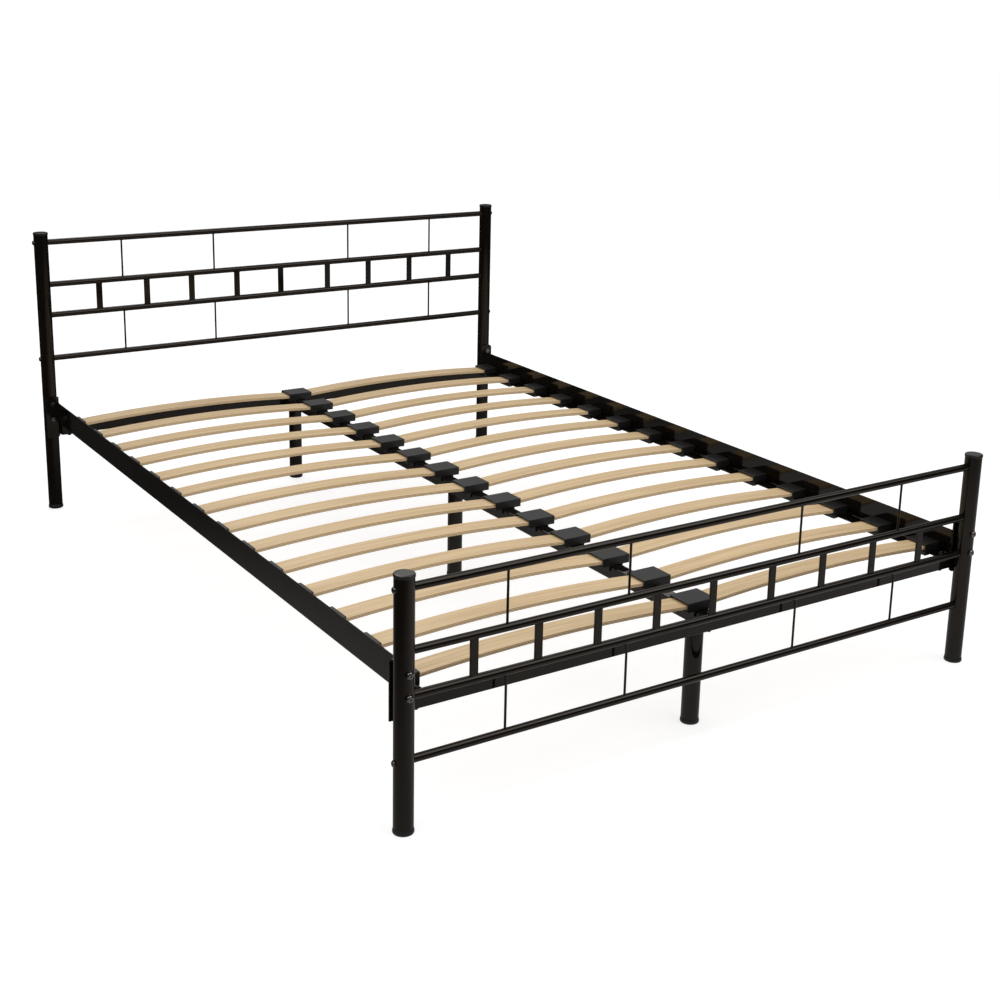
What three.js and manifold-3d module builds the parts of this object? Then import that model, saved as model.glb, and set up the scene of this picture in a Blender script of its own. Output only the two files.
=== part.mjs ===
// Metal bed frame for a 140 x 200 cm mattress: four round posts, a tall and a low tube panel, angle-section
// side rails, cross-bars, a centre beam on three legs, and bowed slats in plastic holders.
// Millimetres. +X across the bed, +Y towards the head, +Z up, origin on the floor under the bed's middle.
import * as THREE from "three";
import { mergeVertices } from "three/addons/utils/BufferGeometryUtils.js";
import Module from "manifold-3d";

const wasm = await Module();
wasm.setup();

// ---------------------------------------------------------------- driving dimensions

const GAP = 0.3; // clearance between pieces that meet

// layout of the four posts, axis to axis
const POST_SPAN_X = 1440;
const POST_SPAN_Y = 2050;
const POST_D = 38;
const POST_WALL = 1.5;
const HEAD_HEIGHT = 793;
const FOOT_HEIGHT = 495;

// plastic caps on the posts, and the glides under posts and legs
const CAP_H = 6;
const CAP_OVERHANG = 0.9;
const CAP_EDGE = 1;
const GLIDE_H = 11;
const GLIDE_FLARE = 1.2;
const GLIDE_BEVEL = 3;
const PLUG_LENGTH = 15; // part of a cap or glide inside its tube

// panel tubes, counted from the top
const TUBE_D = 16;
const TUBE_WALL = 1.2;
const TOP_DROP = 28; // post's top to the first tube's axis
const UPPER_STEP = 118; // first tube to second
const LADDER_STEP = 86; // second to third
const LOWER_STEP = 123; // third to fourth
const INSERT_LENGTH = 25; // threaded insert in each end of the first and fourth tube
const WELD_DEPTH = 0.6; // how far a welded piece runs into its neighbour's wall

// upright bars between the second and third tube: evenly spaced, some welded a little to the left
const BAR_COUNT = 9;
const BAR_FROM_POST = 147;
const BAR_SHIFT = [1, -3, -11, -13, -15, -2, -4, -1, 0];
const FOOT_ROW_SHIFT = -5; // the footboard's whole row of bars and rods
const HEAD_ROW_SHIFT = 8;
const BAR_WIDTH = 17;
const BAR_THICK = 5;

// thin rods in the bands above and below: whether one stands midway between each bar and the next
const ROD_AFTER_BAR = [true, false, true, false, false, true, false, true, false];
const ROD_D = 5;

// side rails: an angle section with a ledge for the slats, welded to a plate at each end
const LEDGE_UNDER_Z = 252;
const RAIL_THICK = 2.5;
const RAIL_HEIGHT = 60;
const RAIL_LEDGE = 40;
const PLATE_THICK = 4;
const PLATE_WIDTH = 36;
const PLATE_HEIGHT = 118;
const PLATE_BELOW_LEDGE = 40;
const PLATE_CORNER = 10;

// bolts from each post into a side rail's plate
const RAIL_BOLT_D = 8;
const RAIL_BOLT_ABOVE_LEDGE = 16;
const RAIL_BOLT_PITCH = 44;
const RAIL_BOLT_HEAD_D = 14;
const RAIL_BOLT_HEAD_H = 4.5;
const RAIL_BOLT_SOCKET_D = 5.6;
const RAIL_BOLT_BEYOND_NUT = 2;
const RAIL_WASHER_D = 18;
const NUT_WIDTH = 13;
const NUT_H = 6.5;

// bolts from each post into a panel's first and fourth tube
const PANEL_BOLT_D = 6;
const PANEL_BOLT_IN_TUBE = 20;
const PANEL_BOLT_HEAD_D = 12;
const PANEL_BOLT_HEAD_H = 2.8;
const PANEL_BOLT_SOCKET_D = 4.6;
const PANEL_WASHER_D = 14;
const WASHER_THICK = 1.2; // over the crest of the post

// cross-bars under the ends of the side rails, and the studs that hold what lies on them
const CROSS_H = 30;
const CROSS_DEPTH = 20;
const CROSS_WALL = 1.5;
const CROSS_BEHIND_POST = 1.5;
const STUD_D = 6;
const STUD_FROM_EDGE = 15; // in from the ledge's free edge
const STUD_ABOVE = 9;
const STUD_HEAD_H = 4;
const STUD_HEAD_WIDTH = 10;

// centre beam and its legs
const BEAM_SIZE = 30;
const BEAM_WALL = 1.5;
const BEAM_LAP = 18; // how far each end tab lies on its cross-bar
const BEAM_END_GAP = 4; // beam's end to the cross-bar
const LEG_D = 38;
const LEG_WALL = 1.5;
const LEG_FROM_PANEL = 73;
const LEG_TOP_THICK = 3;
const LEG_STUD_D = 8;
const LEG_STUD_H = 20;

// slats in rows of two, held in plastic at the side rails and over the beam
const SLAT_ROWS = 14;
const END_ROW_FROM_POST = 85;
const SLAT_WIDTH = 53;
const SLAT_THICK = 8;
const SLAT_RISE = 14; // height of the bow at mid-span
const SLAT_GRIP = 26; // length of slat inside each holder
const HOLDER_WIDTH = 60;
const HOLDER_H = 20;
const HOLDER_FLOOR = 4;
const HOLDER_LIP = 8; // part of the end holder that hangs inside the ledge
const HOOK_H = 4;
const HOOK_REACH = 6;
const SADDLE_LENGTH = 72; // holder on the beam, along the slats
const SADDLE_WALL = 3.7;
const SADDLE_DROP = 11;

// sides of the round solids
const POST_SIDES = 24;
const TUBE_SIDES = 12;
const HEAD_SIDES = 12;
const SMALL_SIDES = 8;
const HEX_SIDES = 6;
const BOW_STEPS = 6;
const MERGE_TOLERANCE = 1e-4;

// ---------------------------------------------------------------- derived places

const POST_R = POST_D / 2;
const POST_X = POST_SPAN_X / 2;
const POST_Y = POST_SPAN_Y / 2;
const TUBE_R = TUBE_D / 2;

const barSpan = POST_SPAN_X - 2 * BAR_FROM_POST;
const barX = BAR_SHIFT.map((shift, i) => -barSpan / 2 + (barSpan * i) / (BAR_COUNT - 1) + shift);
const rodX = barX.flatMap((x, i) => (ROD_AFTER_BAR[i] ? [(x + barX[i + 1]) / 2] : []));

const plateY = POST_Y - POST_R - GAP; // face that meets the post
const railEndY = plateY - PLATE_THICK;
const railFaceX = POST_X - PLATE_WIDTH / 2; // inner face of the upright leg
const ledgeTopZ = LEDGE_UNDER_Z + RAIL_THICK;
const ledgeEdgeX = railFaceX + RAIL_THICK - RAIL_LEDGE;
const railBoltZ = [0, RAIL_BOLT_PITCH].map((step) => LEDGE_UNDER_Z + RAIL_BOLT_ABOVE_LEDGE + step);

const crossTopZ = LEDGE_UNDER_Z - GAP;
const crossFrontY = POST_Y - POST_R - CROSS_BEHIND_POST;
const crossBackY = crossFrontY - CROSS_DEPTH;
const studX = ledgeEdgeX + STUD_FROM_EDGE;
const studY = (crossFrontY + crossBackY) / 2;

const beamTopZ = ledgeTopZ;
const beamLowZ = beamTopZ - BEAM_SIZE;
const beamEndY = crossBackY - BEAM_END_GAP;
const legTopZ = beamLowZ - GAP;
const legEndY = POST_Y - LEG_FROM_PANEL;

const holderLowZ = ledgeTopZ + GAP;
const holderTopZ = holderLowZ + HOLDER_H;

// ---------------------------------------------------------------- materials

function finish(color, roughness, metalness) {
  return () => new THREE.MeshStandardMaterial({ color, roughness, metalness });
}

const powderCoat = finish(0x14110f, 0.28, 0.35);
const blackPlastic = finish(0x1b1a19, 0.45, 0);
const boltSteel = finish(0x2a2826, 0.25, 0.8);
const birch = finish(0xd9bd8f, 0.6, 0);

// ---------------------------------------------------------------- solids

function solid(geometry) {
  const bare = geometry.clone();
  bare.deleteAttribute("normal");
  bare.deleteAttribute("uv");
  const merged = mergeVertices(bare, MERGE_TOLERANCE);
  return new wasm.Manifold(
    new wasm.Mesh({
      numProp: 3,
      vertProperties: new Float32Array(merged.attributes.position.array),
      triVerts: new Uint32Array(merged.index.array),
    }),
  );
}

function geometryOf(body) {
  const mesh = body.getMesh();
  const geometry = new THREE.BufferGeometry();
  geometry.setAttribute("position", new THREE.BufferAttribute(new Float32Array(mesh.vertProperties), 3));
  geometry.setIndex(new THREE.BufferAttribute(new Uint32Array(mesh.triVerts), 1));
  const flat = geometry.toNonIndexed();
  flat.computeVertexNormals();
  return flat;
}

const join = (...bodies) => bodies.reduce((whole, body) => whole.add(body));
const cut = (whole, ...tools) => tools.reduce((left, tool) => left.subtract(tool), whole);

function block(x0, x1, y0, y1, z0, z1) {
  const geometry = new THREE.BoxGeometry(x1 - x0, y1 - y0, z1 - z0);
  return solid(geometry.translate((x0 + x1) / 2, (y0 + y1) / 2, (z0 + z1) / 2));
}

// a round bar along +Z from z0 to z1
function roundZ(radius, z0, z1, x = 0, y = 0, sides = SMALL_SIDES) {
  const geometry = new THREE.CylinderGeometry(radius, radius, z1 - z0, sides).rotateX(Math.PI / 2);
  return solid(geometry.translate(x, y, (z0 + z1) / 2));
}

function roundX(radius, x0, x1, y, z, sides = SMALL_SIDES) {
  const geometry = new THREE.CylinderGeometry(radius, radius, x1 - x0, sides).rotateZ(Math.PI / 2);
  return solid(geometry.translate((x0 + x1) / 2, y, z));
}

function roundY(radius, y0, y1, x, z, sides = SMALL_SIDES) {
  const geometry = new THREE.CylinderGeometry(radius, radius, y1 - y0, sides);
  return solid(geometry.translate(x, (y0 + y1) / 2, z));
}

// distance from the middle of a hexagon to its corners, from its width across two flats
const hexRadius = (width) => width / Math.sqrt(3);

// a turned piece: [radius, height] pairs that start and end on the axis, or close on themselves
function turned(profile, sides = POST_SIDES) {
  const points = profile.map(([radius, height]) => new THREE.Vector2(radius, height));
  return solid(new THREE.LatheGeometry(points, sides).rotateX(Math.PI / 2));
}

// an outline in X and Z, drawn out along Y
function drawnAlongY(outline, y0, y1) {
  const shape = new THREE.Shape(outline.map(([x, z]) => new THREE.Vector2(x, z)));
  const geometry = new THREE.ExtrudeGeometry(shape, { depth: y1 - y0, bevelEnabled: false });
  return solid(geometry.rotateX(Math.PI / 2).translate(0, y1, 0));
}

const bed = new THREE.Group();

function addPiece(name, body, material) {
  const mesh = new THREE.Mesh(geometryOf(body), material());
  mesh.name = name;
  bed.add(mesh);
  return mesh;
}

// the two ends of the bed and its two sides
const ENDS = [
  { name: "foot", side: -1, height: FOOT_HEIGHT, rowShift: FOOT_ROW_SHIFT },
  { name: "head", side: 1, height: HEAD_HEIGHT, rowShift: HEAD_ROW_SHIFT },
];
const HANDS = [
  { name: "left", side: -1 },
  { name: "right", side: 1 },
];

// distances from the middle, on one side of it, as a low and a high place
const between = (side, near, far) => [side * near, side * far].sort((a, b) => a - b);

function tubeHeights(height) {
  const first = height - TOP_DROP;
  const second = first - UPPER_STEP;
  const third = second - LADDER_STEP;
  return [first, second, third, third - LOWER_STEP];
}

// ---------------------------------------------------------------- posts, caps and glides

function postTube(height) {
  const low = GLIDE_H + GAP;
  const high = height - CAP_H - GAP;
  const bore = POST_R - POST_WALL;
  const tube = turned([
    [bore, low],
    [POST_R, low],
    [POST_R, high],
    [bore, high],
    [bore, low],
  ]);
  const [first, , , fourth] = tubeHeights(height);
  return cut(
    tube,
    ...railBoltZ.map((z) => roundY(RAIL_BOLT_D / 2 + GAP, -POST_D, POST_D, 0, z)),
    ...[first, fourth].map((z) => roundX(PANEL_BOLT_D / 2 + GAP, -POST_D, POST_D, 0, z)),
  );
}

function topCap(radius, wall) {
  const plug = radius - wall - GAP;
  const rim = radius + CAP_OVERHANG;
  return turned([
    [0, -PLUG_LENGTH],
    [plug, -PLUG_LENGTH],
    [plug, 0],
    [rim, 0],
    [rim, CAP_H - CAP_EDGE],
    [rim - CAP_EDGE, CAP_H],
    [0, CAP_H],
  ]);
}

function glide(radius, wall) {
  const plug = radius - wall - GAP;
  const foot = radius + GLIDE_FLARE;
  return turned([
    [0, 0],
    [foot - GLIDE_BEVEL, 0],
    [foot, GLIDE_BEVEL],
    [radius, GLIDE_H],
    [plug, GLIDE_H],
    [plug, GLIDE_H + PLUG_LENGTH],
    [0, GLIDE_H + PLUG_LENGTH],
  ]);
}

for (const end of ENDS) {
  for (const hand of HANDS) {
    const place = [hand.side * POST_X, end.side * POST_Y];
    const label = `${end.name}_${hand.name}`;
    addPiece(`post_${label}`, postTube(end.height), powderCoat).position.set(...place, 0);
    const cap = addPiece(`post_cap_${label}`, topCap(POST_R, POST_WALL), blackPlastic);
    cap.position.set(...place, end.height - CAP_H);
    addPiece(`glide_${label}`, glide(POST_R, POST_WALL), blackPlastic).position.set(...place, 0);
  }
}

// ---------------------------------------------------------------- tube panels between the posts

// a panel tube along X whose ends are cut to the posts' round
function panelTube(z, withInserts) {
  const boreEnd = withInserts ? POST_X - POST_R - INSERT_LENGTH : POST_X;
  const boltHole = roundX(PANEL_BOLT_D / 2 + GAP, -POST_X, POST_X, 0, z);
  return cut(
    roundX(TUBE_R, -POST_X, POST_X, 0, z, TUBE_SIDES),
    roundX(TUBE_R - TUBE_WALL, -boreEnd, boreEnd, 0, z, TUBE_SIDES),
    ...(withInserts ? [boltHole] : []),
    ...HANDS.map((hand) => roundZ(POST_R + GAP, z - TUBE_D, z + TUBE_D, hand.side * POST_X, 0, POST_SIDES)),
  );
}

const rods = (shift, low, high) => rodX.map((x) => roundZ(ROD_D / 2, low, high, x + shift));

function bars(shift, low, high) {
  const [wide, deep] = [BAR_WIDTH / 2, BAR_THICK / 2];
  return barX.map((x) => block(x + shift - wide, x + shift + wide, -deep, deep, low, high));
}

for (const end of ENDS) {
  const [first, second, third, fourth] = tubeHeights(end.height);
  const weld = TUBE_R - WELD_DEPTH;
  const clear = TUBE_R + GAP;
  const shift = end.rowShift;
  const ladderTubes = [panelTube(second, false), panelTube(third, false)];
  const pieces = {
    top_rail: join(panelTube(first, true), ...rods(shift, second + clear, first - weld)),
    ladder: join(...ladderTubes, ...bars(shift, third + weld, second - weld)),
    bottom_rail: join(panelTube(fourth, true), ...rods(shift, fourth + weld, third - clear)),
  };
  for (const [piece, body] of Object.entries(pieces)) {
    addPiece(`${end.name}board_${piece}`, body, powderCoat).position.y = end.side * POST_Y;
  }
}

// ---------------------------------------------------------------- side rails

function endPlate(side) {
  const inner = POST_X - PLATE_WIDTH / 2;
  const outer = POST_X + PLATE_WIDTH / 2;
  const low = LEDGE_UNDER_Z - PLATE_BELOW_LEDGE;
  const top = low + PLATE_HEIGHT;
  const outline = [
    [inner, low + PLATE_CORNER],
    [inner + PLATE_CORNER, low],
    [outer, low],
    [outer, top - PLATE_CORNER],
    [outer - PLATE_CORNER, top],
    [inner, top],
  ];
  const nuts = railBoltZ.map((z) => {
    const [y0, y1] = between(side, railEndY - NUT_H, railEndY + WELD_DEPTH);
    return roundY(hexRadius(NUT_WIDTH), y0, y1, POST_X, z, HEX_SIDES);
  });
  const holes = railBoltZ.map((z) => {
    const [y0, y1] = between(side, railEndY - 2 * NUT_H, POST_Y);
    return roundY(RAIL_BOLT_D / 2 + GAP, y0, y1, POST_X, z);
  });
  return cut(join(drawnAlongY(outline, ...between(side, railEndY, plateY)), ...nuts), ...holes);
}

function sideRail() {
  const outerX = railFaceX + RAIL_THICK;
  const topZ = LEDGE_UNDER_Z + RAIL_HEIGHT;
  const angle = drawnAlongY(
    [
      [ledgeEdgeX, LEDGE_UNDER_Z],
      [outerX, LEDGE_UNDER_Z],
      [outerX, topZ],
      [railFaceX, topZ],
      [railFaceX, ledgeTopZ],
      [ledgeEdgeX, ledgeTopZ],
    ],
    -railEndY - WELD_DEPTH,
    railEndY + WELD_DEPTH,
  );
  const [holeLowZ, holeTopZ] = [LEDGE_UNDER_Z - RAIL_THICK, ledgeTopZ + RAIL_THICK];
  const studHoles = ENDS.map((end) => roundZ(STUD_D / 2 + GAP, holeLowZ, holeTopZ, studX, end.side * studY));
  return cut(join(angle, ...ENDS.map((end) => endPlate(end.side))), ...studHoles);
}

addPiece("side_rail_right", sideRail(), powderCoat);
addPiece("side_rail_left", sideRail().mirror([1, 0, 0]), powderCoat);

// ---------------------------------------------------------------- cross-bars with their studs

function crossBar(side) {
  const low = crossTopZ - CROSS_H;
  const [y0, y1] = between(side, crossBackY, crossFrontY);
  const endX = railFaceX - GAP;
  const tube = cut(
    block(-endX, endX, y0, y1, low, crossTopZ),
    block(-POST_X, POST_X, y0 + CROSS_WALL, y1 - CROSS_WALL, low + CROSS_WALL, crossTopZ - CROSS_WALL),
  );
  const studs = [-studX, 0, studX].flatMap((x) => [
    roundZ(STUD_D / 2, low - STUD_HEAD_H / 2, ledgeTopZ + STUD_ABOVE, x, side * studY),
    roundZ(hexRadius(STUD_HEAD_WIDTH), low - STUD_HEAD_H, low + WELD_DEPTH, x, side * studY, HEX_SIDES),
  ]);
  return join(tube, ...studs);
}

for (const end of ENDS) {
  addPiece(`cross_bar_${end.name}`, crossBar(end.side), powderCoat);
}

// ---------------------------------------------------------------- centre beam and its legs

function centreBeam() {
  const half = BEAM_SIZE / 2;
  const inner = half - BEAM_WALL;
  const tabLowZ = beamTopZ - RAIL_THICK;
  const tabs = ENDS.map((end) => {
    const [y0, y1] = between(end.side, beamEndY - BEAM_LAP, crossBackY + BEAM_LAP);
    return block(-half, half, y0, y1, tabLowZ, beamTopZ);
  });
  const tabHoles = ENDS.map((end) => {
    return roundZ(STUD_D / 2 + GAP, tabLowZ - RAIL_THICK, beamTopZ + RAIL_THICK, 0, end.side * studY);
  });
  const legHoles = [-legEndY, 0, legEndY].map((y) => {
    return roundZ(LEG_STUD_D / 2 + GAP, beamLowZ - BEAM_WALL, beamLowZ + 2 * BEAM_WALL, 0, y);
  });
  const tube = cut(
    block(-half, half, -beamEndY, beamEndY, beamLowZ, beamTopZ),
    block(-inner, inner, -POST_Y, POST_Y, beamLowZ + BEAM_WALL, beamTopZ - BEAM_WALL),
  );
  return cut(join(tube, ...tabs), ...tabHoles, ...legHoles);
}

addPiece("centre_beam", centreBeam(), powderCoat);

function centreLeg() {
  const radius = LEG_D / 2;
  const bore = radius - LEG_WALL;
  const tube = turned([
    [0, legTopZ - LEG_TOP_THICK],
    [bore, legTopZ - LEG_TOP_THICK],
    [bore, GLIDE_H + GAP],
    [radius, GLIDE_H + GAP],
    [radius, legTopZ],
    [0, legTopZ],
  ]);
  return join(tube, roundZ(LEG_STUD_D / 2, legTopZ - WELD_DEPTH, legTopZ + LEG_STUD_H));
}

const LEGS = [
  { name: "foot", y: -legEndY },
  { name: "middle", y: 0 },
  { name: "head", y: legEndY },
];
for (const leg of LEGS) {
  addPiece(`centre_leg_${leg.name}`, centreLeg(), powderCoat).position.y = leg.y;
  addPiece(`centre_glide_${leg.name}`, glide(LEG_D / 2, LEG_WALL), blackPlastic).position.y = leg.y;
}

// ---------------------------------------------------------------- bolts through the posts

// Made along its own +Z, out of a post that runs along its own Y. The washer is cut to the post's round.
function postBolt({ diameter, reach, headD, headH, socketD, washerD }) {
  const washerTop = POST_R + GAP + WASHER_THICK;
  const washer = cut(
    roundZ(washerD / 2, 0, washerTop, 0, 0, HEAD_SIDES),
    roundY(POST_R + GAP, -POST_D, POST_D, 0, 0, POST_SIDES),
  );
  const rim = headD / 2;
  const top = washerTop + headH;
  const head = turned(
    [
      [0, washerTop - WELD_DEPTH],
      [rim, washerTop - WELD_DEPTH],
      [rim, washerTop + headH / 3],
      [(rim + socketD / 2) / 2, top - headH / 6],
      [socketD / 2 + WELD_DEPTH, top],
      [0, top],
    ],
    HEAD_SIDES,
  );
  const socket = roundZ(socketD / 2, top - headH / 2, top + headH, 0, 0, HEX_SIDES);
  return cut(join(washer, roundZ(diameter / 2, -reach, washerTop), head), socket);
}

const railBolt = postBolt({
  diameter: RAIL_BOLT_D,
  reach: POST_Y - railEndY + NUT_H + RAIL_BOLT_BEYOND_NUT,
  headD: RAIL_BOLT_HEAD_D,
  headH: RAIL_BOLT_HEAD_H,
  socketD: RAIL_BOLT_SOCKET_D,
  washerD: RAIL_WASHER_D,
});

const panelBolt = postBolt({
  diameter: PANEL_BOLT_D,
  reach: POST_R + PANEL_BOLT_IN_TUBE,
  headD: PANEL_BOLT_HEAD_D,
  headH: PANEL_BOLT_HEAD_H,
  socketD: PANEL_BOLT_SOCKET_D,
  washerD: PANEL_WASHER_D,
});

function addPostBolt(name, body, outward, x, y, z) {
  const up = new THREE.Vector3(0, 0, 1);
  const turn = new THREE.Matrix4().makeBasis(up.clone().cross(outward), up, outward);
  const bolt = addPiece(name, body, boltSteel);
  bolt.quaternion.setFromRotationMatrix(turn);
  bolt.position.set(x, y, z);
}

for (const end of ENDS) {
  const [first, , , fourth] = tubeHeights(end.height);
  for (const hand of HANDS) {
    const [x, y] = [hand.side * POST_X, end.side * POST_Y];
    const label = `${end.name}_${hand.name}`;
    const lengthways = new THREE.Vector3(0, end.side, 0);
    const sideways = new THREE.Vector3(hand.side, 0, 0);
    addPostBolt(`rail_bolt_lower_${label}`, railBolt, lengthways, x, y, railBoltZ[0]);
    addPostBolt(`rail_bolt_upper_${label}`, railBolt, lengthways, x, y, railBoltZ[1]);
    addPostBolt(`panel_bolt_upper_${label}`, panelBolt, sideways, x, y, first);
    addPostBolt(`panel_bolt_lower_${label}`, panelBolt, sideways, x, y, fourth);
  }
}

// ---------------------------------------------------------------- slats

// a bowed slat between two places across the bed, as an outline in X and Z
function bowOutline(x0, x1, z) {
  const upper = [];
  const lower = [];
  for (let i = 0; i <= BOW_STEPS; i += 1) {
    const along = i / BOW_STEPS;
    const x = x0 + (x1 - x0) * along;
    const low = z + SLAT_RISE * 4 * along * (1 - along);
    lower.push([x, low]);
    upper.unshift([x, low + SLAT_THICK]);
  }
  return [...lower, ...upper];
}

// holder at the right side rail: it lies on the ledge and hooks round the ledge's free edge
function endHolder(innerX) {
  const outerX = railFaceX - GAP;
  const hookTopZ = LEDGE_UNDER_Z - GAP;
  const outline = [
    [innerX, hookTopZ - HOOK_H],
    [ledgeEdgeX + HOOK_REACH, hookTopZ - HOOK_H],
    [ledgeEdgeX + HOOK_REACH, hookTopZ],
    [ledgeEdgeX - GAP, hookTopZ],
    [ledgeEdgeX - GAP, holderLowZ],
    [outerX, holderLowZ],
    [outerX, holderTopZ],
    [innerX, holderTopZ],
  ];
  return drawnAlongY(outline, -HOLDER_WIDTH / 2, HOLDER_WIDTH / 2);
}

// double holder that straddles the beam
function saddleHolder() {
  const end = SADDLE_LENGTH / 2;
  const grip = BEAM_SIZE / 2 + GAP;
  const outside = grip + SADDLE_WALL;
  const dropZ = holderLowZ - SADDLE_DROP;
  const right = [
    [grip, holderLowZ],
    [grip, dropZ],
    [outside, dropZ],
    [outside, holderLowZ],
    [end, holderLowZ],
    [end, holderTopZ],
  ];
  const left = right.map(([x, z]) => [-x, z]).reverse();
  return drawnAlongY([...right, ...left], -HOLDER_WIDTH / 2, HOLDER_WIDTH / 2);
}

// both slats of a row in their holders
function slatRow() {
  const holderX = ledgeEdgeX - GAP - HOLDER_LIP;
  const outline = bowOutline(SADDLE_LENGTH / 2 - SLAT_GRIP, holderX + SLAT_GRIP, holderLowZ + HOLDER_FLOOR);
  const half = join(drawnAlongY(outline, -SLAT_WIDTH / 2, SLAT_WIDTH / 2), endHolder(holderX));
  return join(half, half.mirror([1, 0, 0]), saddleHolder());
}

const slatField = POST_SPAN_Y - 2 * END_ROW_FROM_POST;
for (let i = 0; i < SLAT_ROWS; i += 1) {
  const name = `slat_row_${String(i + 1).padStart(2, "0")}`;
  addPiece(name, slatRow(), birch).position.y = -slatField / 2 + (slatField * i) / (SLAT_ROWS - 1);
}

export default bed;
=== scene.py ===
"""The looks of a double bed frame: black powder-coated steel, plastic caps and glides, bowed birch slats.

Metres throughout. +X runs across the bed, +Y from its foot to its head, +Z up, and the origin is on the floor
under the middle of the bed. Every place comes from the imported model's nodes.
"""

import math
from contextlib import contextmanager
from types import SimpleNamespace

import bmesh
import bpy
from bpy.props import FloatProperty, FloatVectorProperty, PointerProperty
from mathutils import Matrix, Vector


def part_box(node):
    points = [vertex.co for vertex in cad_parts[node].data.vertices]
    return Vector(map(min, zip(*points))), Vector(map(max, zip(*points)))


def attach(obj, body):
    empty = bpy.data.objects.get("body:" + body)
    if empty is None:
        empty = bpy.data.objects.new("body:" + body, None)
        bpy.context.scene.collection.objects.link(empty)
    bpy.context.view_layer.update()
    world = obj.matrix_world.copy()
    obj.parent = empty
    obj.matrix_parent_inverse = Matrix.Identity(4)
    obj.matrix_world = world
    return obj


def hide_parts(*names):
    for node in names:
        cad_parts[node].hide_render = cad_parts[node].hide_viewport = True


bl_info = {
    "name": "Steel bed frame",
    "version": (1, 0, 0),
    "blender": (4, 5, 0),
    "location": "3D View > Sidebar > Bed",
    "description": "Builds the pieces and finishes of a steel tube bed frame around its packed model",
    "category": "Object",
}

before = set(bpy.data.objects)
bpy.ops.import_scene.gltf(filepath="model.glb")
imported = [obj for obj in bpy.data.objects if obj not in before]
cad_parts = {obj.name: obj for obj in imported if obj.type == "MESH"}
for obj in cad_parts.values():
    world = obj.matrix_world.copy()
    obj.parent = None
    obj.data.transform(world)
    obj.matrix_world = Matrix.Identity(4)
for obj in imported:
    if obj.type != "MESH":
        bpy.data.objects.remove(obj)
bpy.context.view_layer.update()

MM = 0.001
BODY = "root"
ENDS = {"foot": -1, "head": 1}
HANDS = {"left": -1, "right": 1}
# Each corner's end, the end's way along Y, the hand, and the hand's way along X
CORNERS = [(end, side, hand, way) for end, side in ENDS.items() for hand, way in HANDS.items()]
LEVELS = ("lower", "upper")
LEGS = ("foot", "middle", "head")
ROWS = sorted(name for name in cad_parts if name.startswith("slat_row"))

ROUND_SIDES = 64
TUBE_SIDES = 40
ROD_SIDES = 20
SMALL_SIDES = 32
HEX_SIDES = 6
ARC_STEPS = 4
SHARP_ANGLE = math.radians(34)
BEVEL_ANGLE = math.radians(30)
SQUARE = 0.9  # a face looks along an axis when its unit normal has more than this along it
NEAR = 0.1 * MM
THROUGH = 10 * MM  # as far as a drill needs to go to either side of thin sheet


# ---- places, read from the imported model


def middle(node):
    low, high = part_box(node)
    return (low + high) / 2


def extent(node):
    low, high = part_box(node)
    return high - low


def clusters(values, gap=30 * MM):
    """Sorted values as runs, a new one wherever the step is wider than gap: the low and high end of each."""
    runs = []
    for value in sorted(values):
        if not runs or value - runs[-1][1] > gap:
            runs.append([value, value])
        runs[-1][1] = value
    return runs


GLIDE_HEIGHT = 11 * MM  # from the floor to where a post sits on its glide
POST_R = extent("post_foot_left").x / 2
POST_X = middle("post_foot_right").x
POST_Y = middle("post_head_left").y
TUBE_R = extent("footboard_bottom_rail").y / 2
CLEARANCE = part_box("post_foot_left")[0].z - GLIDE_HEIGHT
LEDGE_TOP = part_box("centre_beam")[1].z
RAIL_LOW, RAIL_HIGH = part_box("side_rail_right")
STUD_Y = middle("cross_bar_head").y


def tube_heights(end):
    """Heights of a board's four tubes, from the top down."""
    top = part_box(f"{end}board_top_rail")[1].z - TUBE_R
    ladder_low, ladder_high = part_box(f"{end}board_ladder")
    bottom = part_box(f"{end}board_bottom_rail")[0].z + TUBE_R
    return [top, ladder_high.z - TUBE_R, ladder_low.z + TUBE_R, bottom]


def bar_spans(end):
    """Where each upright bar of a board starts and ends along X: its corners stand half its thickness off
    the board's middle plane, where the round tubes have none."""
    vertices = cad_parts[f"{end}board_ladder"].data.vertices
    plane, half = ENDS[end] * POST_Y, sizes().bar_thickness / 2
    return clusters(v.co.x for v in vertices if abs(abs(v.co.y - plane) - half) < NEAR / 2)


def rod_spans(end):
    """Where each thin rod of a board starts and ends along X, from the rods' free lower ends."""
    node = f"{end}board_top_rail"
    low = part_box(node)[0].z
    return clusters(v.co.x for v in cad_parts[node].data.vertices if v.co.z < low + NEAR)


# ---- modelling


def deselect():
    bpy.ops.object.select_all(action="DESELECT")


def make_active(piece):
    deselect()
    piece.select_set(True)
    bpy.context.view_layer.objects.active = piece


def hold_place():
    """Moves the active piece's place, turn and size into its mesh."""
    bpy.ops.object.transform_apply(location=True, rotation=True, scale=True)
    return bpy.context.active_object


@contextmanager
def editing(piece, kind="FACE"):
    """Edit mode on a piece, with nothing selected."""
    make_active(piece)
    bpy.ops.object.mode_set(mode="EDIT")
    bpy.ops.mesh.select_mode(type=kind)
    bpy.ops.mesh.select_all(action="DESELECT")
    yield
    bpy.ops.object.mode_set(mode="OBJECT")


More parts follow.
